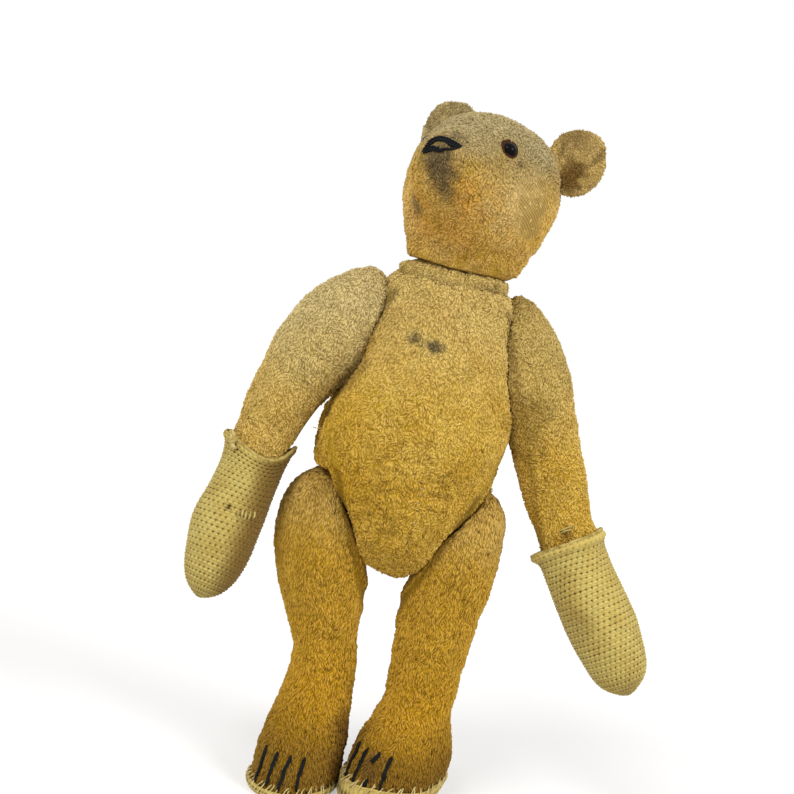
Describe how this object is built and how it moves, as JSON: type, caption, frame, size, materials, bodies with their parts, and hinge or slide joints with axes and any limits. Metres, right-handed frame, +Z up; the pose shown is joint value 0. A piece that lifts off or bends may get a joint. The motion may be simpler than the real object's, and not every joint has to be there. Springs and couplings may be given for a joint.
{
  "type": "teddy bear",
  "caption": "Threadbare disc-jointed plush teddy bear, firmly stuffed, with crocheted mittens and soles, a worn stitched nose and button eyes.",
  "frame": {"origin": "on the ground, under the middle of the standing bear's box", "axes": "+Z up through the standing bear, -Y the way its chest faces, -X its own right side"},
  "size_m": [0.1938, 0.0837, 0.296],
  "materials": {
    "worn_plush": "short matted honey-gold mohair plush, worn and soiled",
    "pale_plush": "mohair plush worn down towards its woven backing",
    "wood_wool": "firmly packed wood wool",
    "crochet_cotton": "crocheted ecru cotton yarn, matt",
    "black_thread": "twisted black embroidery thread",
    "black_button": "glossy black composition boot button",
    "cardboard": "pressed grey-brown card, matt",
    "steel": "plain steel, dull"
  },
  "bodies": {
    "torso": {"body_cover": "worn_plush", "body_stuffing": "wood_wool", "neck_body_disc": "cardboard", "neck_body_washer": "steel", "neck_pin": "steel", "right_shoulder_body_disc": "cardboard", "right_shoulder_body_washer": "steel", "right_shoulder_pin": "steel", "left_shoulder_body_disc": "cardboard", "left_shoulder_body_washer": "steel", "left_shoulder_pin": "steel", "right_hip_body_disc": "cardboard", "right_hip_body_washer": "steel", "right_hip_pin": "steel", "left_hip_body_disc": "cardboard", "left_hip_body_washer": "steel", "left_hip_pin": "steel"},
    "head": {"head_cover": "pale_plush", "head_stuffing": "wood_wool", "right_ear": "pale_plush", "left_ear": "pale_plush", "right_eye": "black_button", "left_eye": "black_button", "nose_stitching": "black_thread", "neck_limb_disc": "cardboard", "neck_limb_washer": "steel"},
    "right_arm": {"right_arm_cover": "worn_plush", "right_arm_stuffing": "wood_wool", "right_mitten": "crochet_cotton", "right_shoulder_limb_disc": "cardboard", "right_shoulder_limb_washer": "steel"},
    "left_arm": {"left_arm_cover": "worn_plush", "left_arm_stuffing": "wood_wool", "left_mitten": "crochet_cotton", "left_shoulder_limb_disc": "cardboard", "left_shoulder_limb_washer": "steel"},
    "right_leg": {"right_leg_cover": "worn_plush", "right_leg_stuffing": "wood_wool", "right_sole": "crochet_cotton", "right_claw_1": "black_thread", "right_claw_2": "black_thread", "right_claw_3": "black_thread", "right_claw_4": "black_thread", "right_hip_limb_disc": "cardboard", "right_hip_limb_washer": "steel"},
    "left_leg": {"left_leg_cover": "worn_plush", "left_leg_stuffing": "wood_wool", "left_sole": "crochet_cotton", "left_claw_1": "black_thread", "left_claw_2": "black_thread", "left_claw_3_upper": "black_thread", "left_claw_3_lower": "black_thread", "left_claw_4": "black_thread", "left_hip_limb_disc": "cardboard", "left_hip_limb_washer": "steel"}
  },
  "joints": [
    {"name": "neck", "type": "hinge", "parent": "torso", "child": "head", "pos_m": [-0.0137, 0.005, 0.2255], "axis": [0, 0, 1], "range_deg": [-90, 90]},
    {"name": "right_shoulder", "type": "hinge", "parent": "torso", "child": "right_arm", "pos_m": [-0.0436, 0.0019, 0.1962], "axis": [-0.9245, -0.1299, 0.3584], "range_deg": [-60, 105]},
    {"name": "left_shoulder", "type": "hinge", "parent": "torso", "child": "left_arm", "pos_m": [0.0141, 0.009, 0.1962], "axis": [0.9245, 0.1299, 0.3584], "range_deg": [-105, 60]},
    {"name": "right_hip", "type": "hinge", "parent": "torso", "child": "right_leg", "pos_m": [-0.0357, 0.005, 0.1135], "axis": [-0.9272, 0, -0.3746], "range_deg": [-45, 85]},
    {"name": "left_hip", "type": "hinge", "parent": "torso", "child": "left_leg", "pos_m": [0.0063, 0.005, 0.1135], "axis": [0.9272, 0, -0.3746], "range_deg": [-85, 45]}
  ]
}
